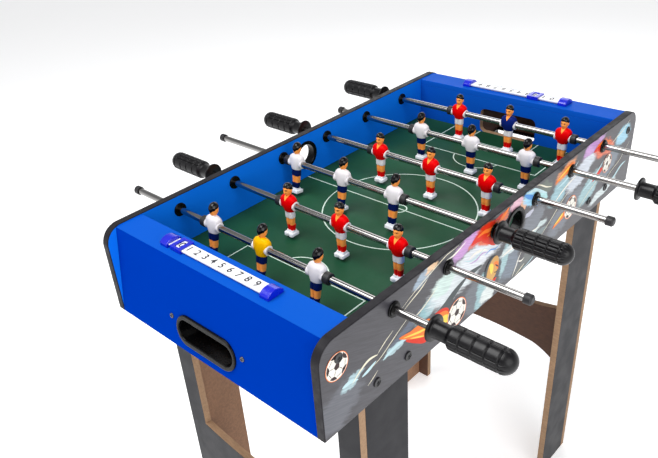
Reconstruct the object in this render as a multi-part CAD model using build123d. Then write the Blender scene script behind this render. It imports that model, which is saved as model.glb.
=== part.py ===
from build123d import *
import math
import os

# Foosball table on legs, in millimetres, +Z up.
# X runs along the table (the near end is -X), Y runs along the rods (the front is -Y).
# The model is built about the middle of the body and moved by BODY_Y when it is saved, so that
# the origin is on the floor under the middle of the overall box, rods and handles included.

# Body
LENGTH = 690.0  # side panels, end to end
WIDTH = 358.0  # over both side panels
PANEL_T = 10.0  # side panel thickness
ROD_Z = 634.0  # rod axis above the floor
PANEL_TOP = ROD_Z + 20.0
PANEL_BOTTOM = ROD_Z - 97.0
CORNER_R = 24.0  # rounded top corners of the side panels
TRIM_T = 1.2  # edge banding
FIELD_TOP = ROD_Z - 49.0
FIELD_T = 3.0
GROOVE = 3.0  # depth of the playfield's groove in each side panel
INNER_Y = WIDTH / 2 - PANEL_T  # inner face of a side panel

# Ends
GOAL_WALL_X = 289.3  # face of the goal wall towards the field
GOAL_WALL_T = 9.0
GOAL_WALL_BOTTOM = PANEL_BOTTOM + 8.0
GOAL_WIDTH = 98.0
GOAL_HEIGHT = 39.5
GOAL_R = 9.0
LEDGE_TOP = PANEL_TOP - 2.0
LEDGE_T = 9.0
LEDGE_X = 328.4  # outer top edge of the ledge
END_BOARD_T = 9.0
END_BOTTOM_X = LENGTH / 2  # outer bottom edge of the slanted end board
END_SLOPE = (END_BOTTOM_X - LEDGE_X) / (LEDGE_TOP - PANEL_BOTTOM)

# Ball cups in the slanted end boards
CUP_Y = 2.5  # the near cup sits a little towards the back
CUP_Z = ROD_Z - 67.0
CUP_LENGTH = 94.0  # opening
CUP_HEIGHT = 26.0
CUP_RIM = (4.5, 7.0)  # width of the rim at the ends, and above and below
CUP_RIM_T = 2.6
CUP_RIM_R = 1.5
CUP_WALL = 2.0
CUP_DEPTH = 37.0
CUP_MOUTH = 15.0  # roofed depth behind the rim; the rest is open at the top for the ball
SCREW_Y = 61.5
SCREW_Z = ROD_Z - 59.0
SCREW_R = 3.2
SCREW_HEAD_T = 1.5

# Ball entry holes in the side panels
ENTRY_Z = ROD_Z - 13.0
ENTRY_HOLE_R = 18.5
ENTRY_BORE_R = 16.0
ENTRY_FLANGE_R = 21.5
ENTRY_FLANGE_T = 2.0

# Score counters on the ledges
DIGITS = 10
DIGIT_PITCH = 13.9
COUNTER_X = 308.8
STRIP_LENGTH = 154.0
STRIP_W = 16.0
STRIP_PLATE_T = 2.0
STRIP_RAIL_W = 10.0
STRIP_RAIL_T = 2.2
SCORE_CAP_LENGTH = 13.0
SCORE_CAP_W = 22.0
SCORE_CAP_H = 9.0
SLIDER_LENGTH = 18.5
SLIDER_W = 21.0
SLIDER_GAP = 0.35
SLIDER_WALL = 1.6
SLIDER_LIFT = 0.4
WINDOW = (14.8, 8.2)
NEAR_SCORE = 0  # digit under the near slider at rest
FAR_SCORE = 2

# Legs: a board along each long side and an H-shaped board across each end
LEG_T = 10.6
LEG_OUTER_X = 284.0
LEG_INNER_X = 199.0
LEG_POST_W = 33.0
LEG_TOP = FIELD_TOP - FIELD_T
FOOT_R = 2.5
RAIL_TOP = (307.0, 292.0)  # height at the posts and at the middle
RAIL_BOTTOM = (214.0, 220.0)
RAIL_BRACKET_Z = 196.0
RAIL_BRACKET_Y = (126.0, 90.0)

# Rods
RODS = 6
SPACING = 94.0
ROD_R = 4.25
ROD_WALL = 1.0
FIT = 0.06  # radial clearance of the running fits
REST_SLIDE = (12.8, -25.4, 53.5, -23.8, -27.5, -33.2)  # middle player from the table's middle
REST_SPIN = (11, 0, 9, 0, 0, 0)  # lean of the players, heads towards the far end
PLAYER_PITCH = 87.5
STOPPER = (100.0, 108.0, 7.1)  # start, end, radius
END_CAP = (244.5, 253.5, 5.8, 5.0)  # start, end, radius, depth of the socket
HANDLE_START = 239.0
HANDLE_LENGTH = 89.0
HANDLE_SOCKET = 62.0
HANDLE_FLANGE = (14.5, 2.6)  # radius, thickness
HANDLE_NECK = (9.3, 19.0)  # radius, length with the flange
HANDLE_R = 12.8
WIDE_PAD = 70.0  # angle of each of the two wide rows of pads
NARROW_ROWS = 5  # rows of narrow pads between them, on each side
PAD_RINGS = 4
PAD_PITCH = 13.7
FIRST_RING = 34.2  # groove nearest the flange, from the handle's start
PAD_GROOVE = (1.3, 1.0)  # width, depth
GRIP_TURN = (0, 110, 75, 120, 40, 100)  # how each handle happens to be turned on its rod

# Rod bushings: a fixed flanged bushing in each panel and a sleeve that turns in it
BUSHING_HOLE_R = 8.0
BUSHING_BORE_R = 6.2
BUSHING_FLANGE = (9.2, 2.2)  # radius, thickness
SLEEVE_COLLAR = (7.6, 0.9)

# Bolts through the side panels
BOLT_R = 5.6
BOLT_CAP_T = 1.6
BOLT_LOW_X = (212.0, 264.0)
BOLT_LOW_Z = ROD_Z - 76.0
BOLT_HIGH_X = 318.5
BOLT_HIGH_Z = ROD_Z - 6.0

# Player, heights from the rod axis
PLAYER_HALF_WIDTH = 12.5
HEAD = (6.4, 6.0, 9.8, 20.9)  # X, Y and Z radii, centre height
BOOT_BOTTOM = -44.6

ROD_X = [(i - (RODS - 1) / 2) * SPACING for i in range(RODS)]
HANDLE_TIP = HANDLE_START + HANDLE_LENGTH
# The front and back reach of the rods set where the overall box has its middle.
FRONT_REACH = min(
    REST_SLIDE[i] - (HANDLE_TIP if i % 2 == 0 else END_CAP[1]) for i in range(RODS)
)
BACK_REACH = max(
    REST_SLIDE[i] + (END_CAP[1] if i % 2 == 0 else HANDLE_TIP) for i in range(RODS)
)
BODY_Y = -(FRONT_REACH + BACK_REACH) / 2


def save(node, *solids):
    """Write one node, moved into the row's frame."""
    shapes = []
    for solid in solids:
        shapes.extend((Pos(0, BODY_Y, 0) * solid).solids())
    export_step(Compound(children=shapes) if len(shapes) > 1 else shapes[0], f"parts/{node}.step")


def box_between(low, high):
    size = [h - l for l, h in zip(low, high)]
    middle = [(h + l) / 2 for l, h in zip(low, high)]
    return Pos(*middle) * Box(*size)


def plate_xz(sketch, y0, y1):
    """A sketch in the XZ plane, thickened from y0 to y1."""
    return Pos(0, y1, 0) * extrude(Plane.XZ * sketch, y1 - y0)


def plate_yz(sketch, x0, x1):
    return Pos(x0, 0, 0) * extrude(Plane.YZ * sketch, x1 - x0)


def turned(points, axis_point=(0, 0, 0)):
    """A turned solid about the Y direction, from (y, radius) points in order."""
    face = make_face(Polyline(*[(r, y) for y, r in points], close=True))
    return Pos(*axis_point) * revolve(face, Axis.Y)


def ring_y(y0, y1, outer, inner):
    return turned([(y0, inner), (y0, outer), (y1, outer), (y1, inner)])


def far(shape):
    """The far end's copy of a near-end piece: half a turn about the vertical axis."""
    return Rot(0, 0, 180) * shape


# ---- Body ----


def panel_outline(inset):
    height = PANEL_TOP - PANEL_BOTTOM - inset
    face = Pos(0, PANEL_BOTTOM + height / 2) * Rectangle(LENGTH - 2 * inset, height)
    return fillet(face.vertices().group_by(Axis.Y)[-1], CORNER_R - inset)


def side_panel():
    """The back side panel: the front one is its half turn."""
    face = panel_outline(TRIM_T)
    for x in ROD_X:
        face -= Pos(x, ROD_Z) * Circle(BUSHING_HOLE_R)
    face -= Pos(0, ENTRY_Z) * Circle(ENTRY_HOLE_R)
    panel = plate_xz(face, INNER_Y, WIDTH / 2)
    groove = box_between(
        (-GOAL_WALL_X, INNER_Y - 1, FIELD_TOP - FIELD_T), (GOAL_WALL_X, INNER_Y + GROOVE, FIELD_TOP)
    )
    return panel - groove


def edge_trim():
    return plate_xz(panel_outline(0) - panel_outline(TRIM_T), INNER_Y, WIDTH / 2)


def playfield():
    half_y = INNER_Y + GROOVE - 0.05
    return box_between(
        (-GOAL_WALL_X, -half_y, FIELD_TOP - FIELD_T), (GOAL_WALL_X, half_y, FIELD_TOP)
    )


def goal_wall():
    """The near goal wall, with a goal mouth whose sill is level with the field."""
    height = LEDGE_TOP - LEDGE_T - GOAL_WALL_BOTTOM
    face = Pos(0, GOAL_WALL_BOTTOM + height / 2) * Rectangle(2 * INNER_Y, height)
    face -= Pos(0, FIELD_TOP + GOAL_HEIGHT / 2) * RectangleRounded(GOAL_WIDTH, GOAL_HEIGHT, GOAL_R)
    return plate_yz(face, -GOAL_WALL_X - GOAL_WALL_T, -GOAL_WALL_X)


def end_x(z):
    """Outer face of the near end board at a height."""
    return -(LEDGE_X + (LEDGE_TOP - z) * END_SLOPE)


# The ledge and the end board meet in a mitre, from the outer corner to this inner one.
MITRE = (end_x(LEDGE_TOP - LEDGE_T) + END_BOARD_T, LEDGE_TOP - LEDGE_T)


def ledge():
    outline = Polyline(
        (-GOAL_WALL_X, LEDGE_TOP - LEDGE_T),
        (-GOAL_WALL_X, LEDGE_TOP),
        (-LEDGE_X, LEDGE_TOP),
        MITRE,
        close=True,
    )
    return plate_xz(make_face(outline), -INNER_Y, INNER_Y)


# Local frame on the near end board's outer face: x along -Y, y up the slope, z outwards
CUP_PLANE = Plane(
    origin=(end_x(CUP_Z), CUP_Y, CUP_Z), x_dir=(0, -1, 0), z_dir=(-1, 0, END_SLOPE)
)


def stadium(grow, rise=None):
    height = CUP_HEIGHT + 2 * (grow if rise is None else rise)
    return SlotOverall(CUP_LENGTH + 2 * grow, height)


def screw_places():
    """Both screws beside the near cup, on the end board's outer face."""
    rise = (SCREW_Z - CUP_Z) * math.hypot(1, END_SLOPE)
    return [CUP_PLANE.location * Pos(y, rise, 0) for y in (-SCREW_Y, SCREW_Y)]


def end_board():
    outline = Polyline(
        (-LEDGE_X, LEDGE_TOP),
        MITRE,
        (end_x(PANEL_BOTTOM) + END_BOARD_T, PANEL_BOTTOM),
        (end_x(PANEL_BOTTOM), PANEL_BOTTOM),
        close=True,
    )
    board = plate_xz(make_face(outline), -INNER_Y, INNER_Y)
    board -= extrude(CUP_PLANE * stadium(CUP_WALL), 30, both=True)
    return board


def ball_cup():
    """A black cup behind a raised oval rim, closed at its back and open above at the back."""
    rim = extrude(stadium(*CUP_RIM) - stadium(0), CUP_RIM_T)
    rim = fillet(rim.edges().group_by(Axis.Z)[-1], CUP_RIM_R)
    shell = extrude(stadium(CUP_WALL), -CUP_DEPTH)
    shell -= extrude(stadium(0), -(CUP_DEPTH - CUP_WALL))
    shell -= box_between(
        (-CUP_LENGTH, 2, -CUP_DEPTH - 1), (CUP_LENGTH, CUP_HEIGHT, -CUP_MOUTH)
    )
    return CUP_PLANE.location * (rim + shell)


def screw(place, radius, head_t):
    """A domed screw head with a cross recess, standing on a face."""
    head = extrude(Circle(radius), head_t)
    head = fillet(head.edges().group_by(Axis.Z)[-1], head_t * 0.8)
    for turn in (0, 90):
        head -= Rot(0, 0, turn) * Pos(0, 0, head_t) * Box(radius * 1.1, radius * 0.28, head_t)
    return place * head


def bolt_cap(x, z):
    """A black bolt cap on the back panel: a ring round a hexagon socket."""
    place = Plane(origin=(x, WIDTH / 2, z), x_dir=(1, 0, 0), z_dir=(0, 1, 0)).location
    head = extrude(Circle(BOLT_R), BOLT_CAP_T)
    head = fillet(head.edges().group_by(Axis.Z)[-1], 0.6)
    head -= Pos(0, 0, BOLT_CAP_T) * extrude(Circle(BOLT_R * 0.68), 0.5, both=True)
    head -= Pos(0, 0, 0.5) * extrude(RegularPolygon(BOLT_R * 0.36, 6), BOLT_CAP_T)
    return place * head


def panel_bolts():
    places = [(x, BOLT_LOW_Z) for x in BOLT_LOW_X] + [(BOLT_HIGH_X, BOLT_HIGH_Z)]
    back = [bolt_cap(side * x, z) for x, z in places for side in (-1, 1)]
    return back + [far(bolt) for bolt in back]


def entry_ring():
    """The back panel's ball entry ring: flanged on both faces, with a rounded mouth."""
    inside = INNER_Y - ENTRY_FLANGE_T
    outside = WIDTH / 2 + ENTRY_FLANGE_T
    lip = 1.2
    points = [
        (inside, ENTRY_BORE_R + lip),
        (inside, ENTRY_FLANGE_R),
        (INNER_Y, ENTRY_FLANGE_R),
        (INNER_Y, ENTRY_HOLE_R),
        (WIDTH / 2, ENTRY_HOLE_R),
        (WIDTH / 2, ENTRY_FLANGE_R),
        (outside, ENTRY_FLANGE_R),
        (outside, ENTRY_BORE_R + lip),
        (outside - lip, ENTRY_BORE_R),
        (inside + lip, ENTRY_BORE_R),
    ]
    return turned(points, (0, 0, ENTRY_Z))


# ---- Score counters ----

STRIP_TOP = LEDGE_TOP + STRIP_RAIL_T + STRIP_PLATE_T


def score_strip():
    half = STRIP_LENGTH / 2
    rail = box_between(
        (-COUNTER_X - STRIP_RAIL_W / 2, -half, LEDGE_TOP),
        (-COUNTER_X + STRIP_RAIL_W / 2, half, LEDGE_TOP + STRIP_RAIL_T),
    )
    plate = box_between(
        (-COUNTER_X - STRIP_W / 2, -half, LEDGE_TOP + STRIP_RAIL_T),
        (-COUNTER_X + STRIP_W / 2, half, STRIP_TOP),
    )
    return rail + plate


def arch(width, height):
    """An arched outline standing on the X axis."""
    low = height * 0.45
    return make_face(
        Polyline((-width / 2, low), (-width / 2, 0), (width / 2, 0), (width / 2, low))
        + ThreePointArc((width / 2, low), (0, height), (-width / 2, low))
    )


def score_cap(side):
    cap = plate_xz(Pos(-COUNTER_X, LEDGE_TOP) * arch(SCORE_CAP_W, SCORE_CAP_H), 0, SCORE_CAP_LENGTH)
    cap = fillet(cap.edges().filter_by(GeomType.CIRCLE), 0.8)
    start = STRIP_LENGTH / 2 if side > 0 else -STRIP_LENGTH / 2 - SCORE_CAP_LENGTH
    return Pos(0, start, 0) * cap


def score_slider(digit):
    """A channel that runs along the strip, with a window over one digit."""
    top = STRIP_TOP + SLIDER_GAP + SLIDER_WALL
    base = LEDGE_TOP + SLIDER_LIFT
    half = SLIDER_LENGTH / 2
    slot = STRIP_W / 2 + SLIDER_GAP
    body = box_between((-SLIDER_W / 2, -half, base), (SLIDER_W / 2, half, top))
    plate_low = LEDGE_TOP + STRIP_RAIL_T - SLIDER_GAP
    body -= box_between((-slot, -half - 1, plate_low), (slot, half + 1, STRIP_TOP + SLIDER_GAP))
    rail = STRIP_RAIL_W / 2 + SLIDER_GAP
    body -= box_between((-rail, -half - 1, base - 1), (rail, half + 1, plate_low + 1))
    body -= Pos(0, 0, top) * Box(WINDOW[0], WINDOW[1], 4 * SLIDER_WALL)
    return Pos(-COUNTER_X, digit_y(digit), 0) * body


def digit_y(digit):
    """Place of a digit on the near strip: zero is nearest the back."""
    return ((DIGITS - 1) / 2 - digit) * DIGIT_PITCH


# ---- Legs ----


def leg_board(side):
    """A near-end leg board along the front (-1) or back (+1) panel."""
    width = LEG_OUTER_X - LEG_T - LEG_INNER_X
    face = Pos(-LEG_INNER_X - width / 2, LEG_TOP / 2) * Rectangle(width, LEG_TOP)
    face = fillet(face.vertices().sort_by(Axis.Y)[:2].sort_by(Axis.X)[-1], FOOT_R)
    y0 = INNER_Y - LEG_T if side > 0 else -INNER_Y
    return plate_xz(face, y0, y0 + LEG_T)


def end_frame():
    """The near end's H-shaped board: two posts and an arched rail."""
    post_in = INNER_Y - LEG_POST_W
    face = Sketch()
    for side in (-1, 1):
        post = Pos(side * (post_in + LEG_POST_W / 2), LEG_TOP / 2) * Rectangle(LEG_POST_W, LEG_TOP)
        inner = post.vertices().sort_by(Axis.Y)[:2].sort_by(Axis.X)[0 if side > 0 else -1]
        face += fillet(inner, FOOT_R)
    knee, run = RAIL_BRACKET_Y
    overlap = post_in + 5
    knee_turn = ((knee + run) / 2 - 1.0, RAIL_BRACKET_Z + 11.5)
    rail = make_face(
        Polyline((overlap, RAIL_BRACKET_Z), (overlap, RAIL_TOP[0]), (post_in, RAIL_TOP[0]))
        + ThreePointArc((post_in, RAIL_TOP[0]), (0, RAIL_TOP[1]), (-post_in, RAIL_TOP[0]))
        + Polyline(
            (-post_in, RAIL_TOP[0]),
            (-overlap, RAIL_TOP[0]),
            (-overlap, RAIL_BRACKET_Z),
            (-knee, RAIL_BRACKET_Z),
        )
        + ThreePointArc(
            (-knee, RAIL_BRACKET_Z), (-knee_turn[0], knee_turn[1]), (-run, RAIL_BOTTOM[0])
        )
        + ThreePointArc((-run, RAIL_BOTTOM[0]), (0, RAIL_BOTTOM[1]), (run, RAIL_BOTTOM[0]))
        + ThreePointArc((run, RAIL_BOTTOM[0]), knee_turn, (knee, RAIL_BRACKET_Z))
        + Line((knee, RAIL_BRACKET_Z), (overlap, RAIL_BRACKET_Z))
    )
    return plate_yz(face + rail, -LEG_OUTER_X, -LEG_OUTER_X + LEG_T)


# ---- Rods: built about the middle player, handle towards -Y, players facing +X ----


def tube():
    start = -(HANDLE_START + HANDLE_SOCKET)
    stop = END_CAP[0] + END_CAP[3]
    return ring_y(start, stop, ROD_R, ROD_R - ROD_WALL)


def stoppers():
    start, stop, radius = STOPPER
    chamfer_len = 0.8
    points = [
        (start, ROD_R),
        (start, radius),
        (stop - chamfer_len, radius),
        (stop, radius - chamfer_len),
        (stop, ROD_R),
    ]
    back = turned(points)
    return [back, far(back)]


def end_cap():
    start, stop, radius, socket = END_CAP
    round_len = 1.6
    points = [
        (start, ROD_R),
        (start, radius),
        (stop - round_len, radius),
        (stop, radius - round_len),
        (stop, 0),
        (start + socket, 0),
        (start + socket, ROD_R),
    ]
    return turned(points)


def handle():
    """A moulded grip: flange, neck, and a body of raised pads with a domed end."""
    flange_r, flange_t = HANDLE_FLANGE
    neck_r, neck_len = HANDLE_NECK
    start = HANDLE_START
    shoulder = start + neck_len + 5
    dome = HANDLE_TIP - HANDLE_R
    outline = (
        Polyline(
            (0, start + HANDLE_SOCKET),
            (ROD_R, start + HANDLE_SOCKET),
            (ROD_R, start),
            (flange_r, start),
            (flange_r, start + flange_t),
            (neck_r, start + flange_t),
            (neck_r, start + neck_len),
            (HANDLE_R, shoulder),
            (HANDLE_R, dome),
        )
        + ThreePointArc(
            (HANDLE_R, dome),
            (HANDLE_R * math.sin(math.radians(45)), dome + HANDLE_R * math.cos(math.radians(45))),
            (0, HANDLE_TIP),
        )
        + Line((0, HANDLE_TIP), (0, start + HANDLE_SOCKET))
    )
    grip = revolve(make_face(outline), Axis.Y)
    width, depth = PAD_GROOVE
    for ring in range(PAD_RINGS):
        y = start + FIRST_RING + ring * PAD_PITCH
        grip -= ring_y(y - width / 2, y + width / 2, HANDLE_R + 1, HANDLE_R - depth)
    cut = box_between((HANDLE_R - depth, shoulder, -width / 2), (HANDLE_R + 2, dome + 4, width / 2))
    narrow = (180 - WIDE_PAD) / NARROW_ROWS
    for half_turn in (0, 180):
        for row in range(NARROW_ROWS + 1):
            grip -= Rot(0, half_turn + WIDE_PAD + row * narrow - 90, 0) * cut
    return Rot(0, 0, 180) * grip


def player():
    """A simple moulded player standing upright, facing +X, with the rod's hole through it."""
    chest = [
        (-9.0, 5.2, 6.4),
        (-3.0, 7.0, 9.0),
        (4.0, 7.4, 10.4),
        (9.0, 6.0, 9.4),
        (12.0, 3.0, 3.6),
    ]
    figure = loft([Pos(0, 0, z) * Ellipse(rx, ry) for z, rx, ry in chest])
    legs = [(-39.0, 3.8, 5.2), (-29.0, 4.4, 5.6), (-18.0, 5.2, 6.6), (-8.0, 4.8, 6.0)]
    figure += loft([Pos(0, 0, z) * RectangleRounded(2 * rx, 2 * ry, 2.5) for z, rx, ry in legs])
    figure += loft(
        [
            Pos(1.0, 0, BOOT_BOTTOM) * RectangleRounded(13.6, 14.8, 1.5),
            Pos(1.0, 0, BOOT_BOTTOM + 4.0) * RectangleRounded(13.6, 14.8, 1.5),
            Pos(0, 0, -38.0) * RectangleRounded(8.0, 11.0, 1.5),
        ]
    )
    arms = ring_y(-PLAYER_HALF_WIDTH, PLAYER_HALF_WIDTH, 6.2, ROD_R)
    figure += arms
    head = Pos(0, 0, HEAD[3]) * scale(Sphere(1), by=(HEAD[0], HEAD[1], HEAD[2]))
    figure += head
    return figure - ring_y(-20, 20, ROD_R, 0)


def bushing():
    """The fixed bushing in the back panel."""
    radius, thick = BUSHING_FLANGE
    inside = INNER_Y - thick
    outside = WIDTH / 2 + thick
    points = [
        (inside, BUSHING_BORE_R),
        (inside, radius - 0.8),
        (inside + 0.8, radius),
        (INNER_Y, radius),
        (INNER_Y, BUSHING_HOLE_R),
        (WIDTH / 2, BUSHING_HOLE_R),
        (WIDTH / 2, radius),
        (outside - 0.8, radius),
        (outside, radius - 0.8),
        (outside, BUSHING_BORE_R),
    ]
    return turned(points)


def sleeve():
    """The sleeve that turns in the back panel's bushing, with a collar outside it."""
    collar_r, collar_t = SLEEVE_COLLAR
    face = WIDTH / 2 + BUSHING_FLANGE[1] + 0.1
    bore = ROD_R + FIT
    points = [
        (INNER_Y - BUSHING_FLANGE[1], bore),
        (INNER_Y - BUSHING_FLANGE[1], BUSHING_BORE_R - FIT),
        (face, BUSHING_BORE_R - FIT),
        (face, collar_r),
        (face + collar_t, collar_r),
        (face + collar_t, bore),
    ]
    return turned(points)


def both_panels(back_piece, x):
    """A back-panel piece at rod position x, and its half-turned twin in the front panel."""
    return [Pos(x, 0, ROD_Z) * back_piece, Pos(x, 0, ROD_Z) * far(back_piece)]


os.makedirs("parts", exist_ok=True)

back_panel = side_panel()
save("back_side_panel", back_panel)
save("front_side_panel", far(back_panel))
save("edge_trims", edge_trim(), far(edge_trim()))
save("playfield", playfield())
save("ball_entry_rings", entry_ring(), far(entry_ring()))
save("panel_bolts", *panel_bolts())

near_pieces = {
    "goal_wall": goal_wall(),
    "ledge": ledge(),
    "end_panel": end_board(),
    "ball_cup": ball_cup(),
    "end_frame": end_frame(),
}
for name, piece in near_pieces.items():
    save(f"near_{name}", piece)
    save(f"far_{name}", far(piece))

near_legs = [leg_board(-1), leg_board(1)]
save("near_leg_boards", *near_legs)
save("far_leg_boards", *[far(leg) for leg in near_legs])

cup_screws = [screw(place, SCREW_R, SCREW_HEAD_T) for place in screw_places()]
save("cup_screws", *cup_screws, *[far(piece) for piece in cup_screws])

strip = score_strip()
caps = [score_cap(-1), score_cap(1)]
save("score_strips", strip, far(strip))
save("score_end_caps", *caps, *[far(cap) for cap in caps])
save("near_score_slider", score_slider(NEAR_SCORE))
save("far_score_slider", far(score_slider(FAR_SCORE)))

save("rod_bushings", *[piece for x in ROD_X for piece in both_panels(bushing(), x)])

rod_tube, rod_cap, grip, one_player = tube(), end_cap(), handle(), player()
for index, (x, slide) in enumerate(zip(ROD_X, REST_SLIDE)):
    # Rods alternate: odd-numbered rods have the handle in front, even-numbered ones at the back.
    place = Pos(x, slide, ROD_Z) * Rot(0, 0, 180 * (index % 2))
    leaning = Pos(x, slide, ROD_Z) * Rot(0, REST_SPIN[index], 0) * Rot(0, 0, 180 * (index % 2))
    name = f"rod_{index + 1}"
    save(f"{name}_tube", place * rod_tube)
    save(f"{name}_end_cap", place * rod_cap)
    save(f"{name}_handle", place * Rot(0, GRIP_TURN[index], 0) * grip)
    save(f"{name}_stoppers", *[place * piece for piece in stoppers()])
    team = [leaning * Pos(0, n * PLAYER_PITCH, 0) * one_player for n in (-1, 0, 1)]
    save(f"{name}_players", *team)
    save(f"{name}_sleeves", *both_panels(sleeve(), x))

print(f"body middle at y = {BODY_Y:.2f} mm; rods at x = {[round(x, 1) for x in ROD_X]}")
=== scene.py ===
import math

import bmesh
import bpy
from mathutils import Matrix, Vector


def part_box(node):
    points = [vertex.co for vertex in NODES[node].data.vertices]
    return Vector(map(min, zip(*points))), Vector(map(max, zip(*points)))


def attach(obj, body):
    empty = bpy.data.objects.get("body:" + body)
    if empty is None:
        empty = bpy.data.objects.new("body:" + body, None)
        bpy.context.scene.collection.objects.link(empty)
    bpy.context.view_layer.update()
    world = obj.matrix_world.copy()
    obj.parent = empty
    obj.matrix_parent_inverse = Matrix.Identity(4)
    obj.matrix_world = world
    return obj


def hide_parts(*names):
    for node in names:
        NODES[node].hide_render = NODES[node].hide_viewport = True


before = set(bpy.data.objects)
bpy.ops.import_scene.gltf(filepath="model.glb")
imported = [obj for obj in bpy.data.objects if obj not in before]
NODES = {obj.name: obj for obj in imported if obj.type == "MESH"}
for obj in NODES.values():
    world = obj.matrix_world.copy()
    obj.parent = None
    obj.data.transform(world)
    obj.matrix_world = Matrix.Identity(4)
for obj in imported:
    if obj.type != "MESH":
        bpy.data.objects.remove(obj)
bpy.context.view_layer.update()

# Foosball table. Shapes are built in millimetres and scaled to metres when they become meshes.
MM = 0.001
TAU = 2 * math.pi


def box_mm(node):
    low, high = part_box(node)
    return low / MM, high / MM


def srgb(red, green, blue):
    """A linear colour from 0-255 sRGB values."""
    values = [c / 255 for c in (red, green, blue)]
    return (*[v / 12.92 if v < 0.04 else ((v + 0.055) / 1.055) ** 2.4 for v in values], 1)


# ---- Sizes read from the CAD ----

FRONT, BACK = box_mm("front_side_panel"), box_mm("back_side_panel")
MIDDLE_Y = (FRONT[0].y + BACK[1].y) / 2
PANEL_BOTTOM, PANEL_TOP = FRONT[0].z, FRONT[1].z
INNER_Y = BACK[0].y - MIDDLE_Y
OUTER_Y = BACK[1].y - MIDDLE_Y
FIELD = box_mm("playfield")
FIELD_TOP = FIELD[1].z
FIELD_X = FIELD[1].x
STRIP_TOP = box_mm("score_strips")[1].z
RODS = range(1, 7)
GRIP_TURN = {1: 0, 2: 110, 3: 75, 4: 120, 5: 40, 6: 100}  # how far each handle is turned, degrees
LEAN = {1: 11, 3: 9}  # players leaning towards the far end, degrees
PLAYER_HALF_WIDTH = 12.5  # half the width of a player's hub along the rod
DIGITS = 10
DIGIT_PITCH = 13.9
DIGIT_SIZE = 13.2
DIGIT_BOLD = 0.2  # how far a digit's outline is pushed out


def rod_place(number):
    """The middle player's place on a rod, turned to face that player's way."""
    low, high = box_mm(f"rod_{number}_players")
    tube = box_mm(f"rod_{number}_tube")
    place = Vector(((tube[0].x + tube[1].x) / 2, (low.y + high.y) / 2, (tube[0].z + tube[1].z) / 2))
    turn = math.pi if box_mm(f"rod_{number}_handle")[1].y > high.y else 0.0
    return Matrix.Translation(place * MM) @ Matrix.Rotation(turn, 4, "Z")


# ---- Camera and light ----


def camera():
    """The photograph's view: azimuth, elevation and roll, from a place in the row's frame."""
    azimuth, elevation, roll = math.radians(-43.81), math.radians(31.36), math.radians(-5.14)
    back = Vector(
        (
            math.sin(azimuth) * math.cos(elevation),
            -math.cos(azimuth) * math.cos(elevation),
            math.sin(elevation),
        )
    )
    right = Vector((0, 0, 1)).cross(back).normalized()
    up = back.cross(right)
    across = math.cos(roll) * right + math.sin(roll) * up
    upward = -math.sin(roll) * right + math.cos(roll) * up
    view = bpy.data.cameras.new("camera")
    view.lens = 38.57
    view.shift_x, view.shift_y = 0.0264, 0.018
    eye = bpy.data.objects.new("camera", view)
    turn = Matrix((across, upward, back)).transposed().to_4x4()
    eye.matrix_world = Matrix.Translation((-0.6753, -0.50575, 1.0616)) @ turn
    bpy.context.scene.collection.objects.link(eye)
    bpy.context.scene.camera = eye


def area_light(name, place, target, size, power):
    light = bpy.data.lights.new(name, "AREA")
    light.shape = "DISK"
    light.size = size
    light.energy = power
    lamp = bpy.data.objects.new(name, light)
    aim = (Vector(target) - Vector(place)).to_track_quat("-Z", "Y")
    lamp.matrix_world = Matrix.Translation(place) @ aim.to_matrix().to_4x4()
    bpy.context.scene.collection.objects.link(lamp)


def studio():
    """A soft box of a room, bright round the sides and darker above, and three broad lamps."""
    world = bpy.data.worlds.new("studio")
    world.use_nodes = True
    nodes, links = world.node_tree.nodes, world.node_tree.links
    height = nodes.new("ShaderNodeSeparateXYZ")
    links.new(nodes.new("ShaderNodeTexCoord").outputs["Generated"], height.inputs[0])
    fall = nodes.new("ShaderNodeMapRange")
    fall.interpolation_type = "SMOOTHSTEP"
    for socket, value in (("From Min", 0.02), ("From Max", 0.6), ("To Min", 1.0), ("To Max", 0.32)):
        fall.inputs[socket].default_value = value
    links.new(height.outputs[2], fall.inputs["Value"])
    links.new(fall.outputs[0], nodes["Background"].inputs["Strength"])
    nodes["Background"].inputs["Color"].default_value = (0.98, 0.985, 1.0, 1)
    bpy.context.scene.world = world
    bpy.context.scene.view_settings.view_transform = "Standard"
    middle = (0, 0.02, 0.5)
    area_light("key", (-1.0, 0.5, 2.7), middle, 1.9, 58)
    area_light("fill", (-0.9, -2.2, 1.7), middle, 2.2, 34)
    area_light("rim", (1.9, 1.0, 1.9), middle, 1.8, 14)


# ---- Materials ----


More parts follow.
